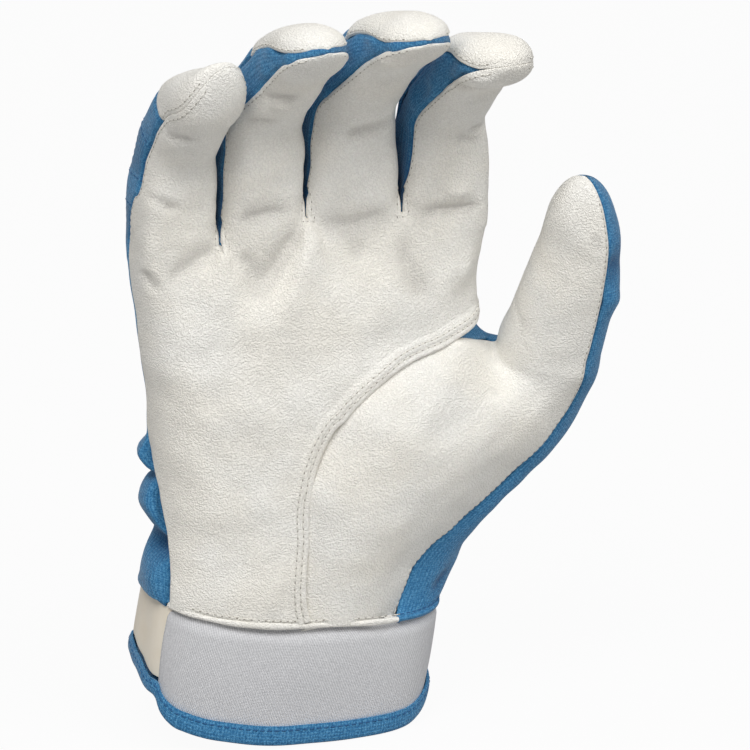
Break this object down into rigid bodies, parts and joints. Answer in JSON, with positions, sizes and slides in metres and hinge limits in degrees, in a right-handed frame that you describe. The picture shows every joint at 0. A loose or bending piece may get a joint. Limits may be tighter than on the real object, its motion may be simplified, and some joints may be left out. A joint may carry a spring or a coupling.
{
  "type": "batting glove",
  "caption": "Right-hand batting glove with half-curled leather fingers, stretch fabric back, bending knuckles and a hook-and-loop wrist strap that peels open.",
  "frame": {"origin": "middle of the hand opening, level with the lowest point of the hem under the palm", "axes": "+Z from the wrist to the fingertips, -Y the way the palm faces, +X towards the thumb"},
  "size_m": [0.1359, 0.0762, 0.2134],
  "materials": {
    "white_leather": "soft white goatskin with a fine pebble grain",
    "blue_fabric": "matt blue stretch knit",
    "grey_elastic": "silver-grey woven elastic with a fine twill",
    "cream_strap": "smooth cream synthetic leather",
    "hook_tape": "moulded hook tape",
    "loop_tape": "napped loop tape"
  },
  "bodies": {
    "hand": {"little_base_gusset": "blue_fabric", "ring_base_gusset": "blue_fabric", "middle_base_gusset": "blue_fabric", "index_base_gusset": "blue_fabric", "little_ring_web": "blue_fabric", "ring_middle_web": "blue_fabric", "middle_index_web": "blue_fabric", "palm_panel": "white_leather", "back_panel": "blue_fabric", "vent_tongue": "blue_fabric", "thumb_panel": "white_leather", "thumb_back": "blue_fabric", "thumb_gusset": "blue_fabric", "thumb_web": "blue_fabric", "cuff_side": "blue_fabric", "strap_root": "cream_strap", "wrist_band": "grey_elastic", "cuff_back": "blue_fabric", "hem_binding": "blue_fabric", "loop_pad": "loop_tape"},
    "little_base": {"little_front_base": "white_leather", "little_back_base": "blue_fabric", "little_fourchette_right": "blue_fabric", "little_knuckle_gusset": "blue_fabric"},
    "little_tip": {"little_front_tip": "white_leather", "little_back_middle": "blue_fabric", "little_tip_cap": "white_leather", "little_fourchette_right_tip": "blue_fabric"},
    "ring_base": {"ring_front_base": "white_leather", "ring_back_base": "blue_fabric", "ring_fourchette_left": "blue_fabric", "ring_fourchette_right": "blue_fabric", "ring_knuckle_gusset": "blue_fabric"},
    "ring_tip": {"ring_front_tip": "white_leather", "ring_back_middle": "blue_fabric", "ring_tip_cap": "white_leather", "ring_fourchette_left_tip": "blue_fabric", "ring_fourchette_right_tip": "blue_fabric"},
    "middle_base": {"middle_front_base": "white_leather", "middle_back_base": "blue_fabric", "middle_fourchette_left": "blue_fabric", "middle_fourchette_right": "blue_fabric", "middle_knuckle_gusset": "blue_fabric"},
    "middle_tip": {"middle_front_tip": "white_leather", "middle_back_middle": "blue_fabric", "middle_tip_cap": "white_leather", "middle_fourchette_left_tip": "blue_fabric", "middle_fourchette_right_tip": "blue_fabric"},
    "index_base": {"index_front_base": "white_leather", "index_back_base": "blue_fabric", "index_fourchette_left": "blue_fabric", "index_knuckle_gusset": "blue_fabric"},
    "index_tip": {"index_front_tip": "white_leather", "index_back_middle": "blue_fabric", "index_tip_cap": "white_leather", "index_fourchette_left_tip": "blue_fabric"},
    "thumb_tip": {"thumb_panel_tip": "white_leather", "thumb_back_tip": "blue_fabric"},
    "strap": {"closure_strap": "cream_strap", "hook_pad": "hook_tape"}
  },
  "joints": [
    {"name": "little_base_bend", "type": "hinge", "parent": "hand", "child": "little_base", "pos_m": [-0.03113, -0.00983, 0.14504], "axis": [0.9848, 0.1736, 0], "range_deg": [-10, 55], "stiffness_Nm_per_rad": 0.06, "deforming": ["little_base_gusset"]},
    {"name": "little_knuckle_bend", "type": "hinge", "parent": "little_base", "child": "little_tip", "pos_m": [-0.03082, -0.01158, 0.16434], "axis": [0.9848, 0.1736, 0], "range_deg": [-36, 45], "stiffness_Nm_per_rad": 0.03, "deforming": ["little_knuckle_gusset"]},
    {"name": "ring_base_bend", "type": "hinge", "parent": "hand", "child": "ring_base", "pos_m": [-0.00632, -0.01106, 0.15091], "axis": [0.9848, 0.1736, 0], "range_deg": [-10, 55], "stiffness_Nm_per_rad": 0.06, "deforming": ["ring_base_gusset"]},
    {"name": "ring_knuckle_bend", "type": "hinge", "parent": "ring_base", "child": "ring_tip", "pos_m": [-0.00594, -0.01324, 0.17173], "axis": [0.9848, 0.1736, 0], "range_deg": [-36, 45], "stiffness_Nm_per_rad": 0.03, "deforming": ["ring_knuckle_gusset"]},
    {"name": "middle_base_bend", "type": "hinge", "parent": "hand", "child": "middle_base", "pos_m": [0.02042, -0.01131, 0.1514], "axis": [0.9848, 0.1736, 0], "range_deg": [-10, 55], "stiffness_Nm_per_rad": 0.06, "deforming": ["middle_base_gusset"]},
    {"name": "middle_knuckle_bend", "type": "hinge", "parent": "middle_base", "child": "middle_tip", "pos_m": [0.02083, -0.01363, 0.17382], "axis": [0.9848, 0.1736, 0], "range_deg": [-36, 45], "stiffness_Nm_per_rad": 0.03, "deforming": ["middle_knuckle_gusset"]},
    {"name": "index_base_bend", "type": "hinge", "parent": "hand", "child": "index_base", "pos_m": [0.04708, -0.01105, 0.14971], "axis": [0.9848, 0.1736, 0], "range_deg": [-10, 55], "stiffness_Nm_per_rad": 0.06, "deforming": ["index_base_gusset"]},
    {"name": "index_knuckle_bend", "type": "hinge", "parent": "index_base", "child": "index_tip", "pos_m": [0.04756, -0.01375, 0.16947], "axis": [0.9848, 0.1736, 0], "range_deg": [-36, 45], "stiffness_Nm_per_rad": 0.03, "deforming": ["index_knuckle_gusset"]},
    {"name": "thumb_bend", "type": "hinge", "parent": "hand", "child": "thumb_tip", "pos_m": [0.07585, -0.02415, 0.12507], "axis": [0.9447, -0.2834, -0.1649], "range_deg": [-12, 30], "stiffness_Nm_per_rad": 0.04, "deforming": ["thumb_gusset"]},
    {"name": "strap_peel", "type": "hinge", "parent": "hand", "child": "strap", "pos_m": [-0.04357, 0.00722, 0.02984], "axis": [0, 0, 1], "range_deg": [0, 110]}
  ]
}
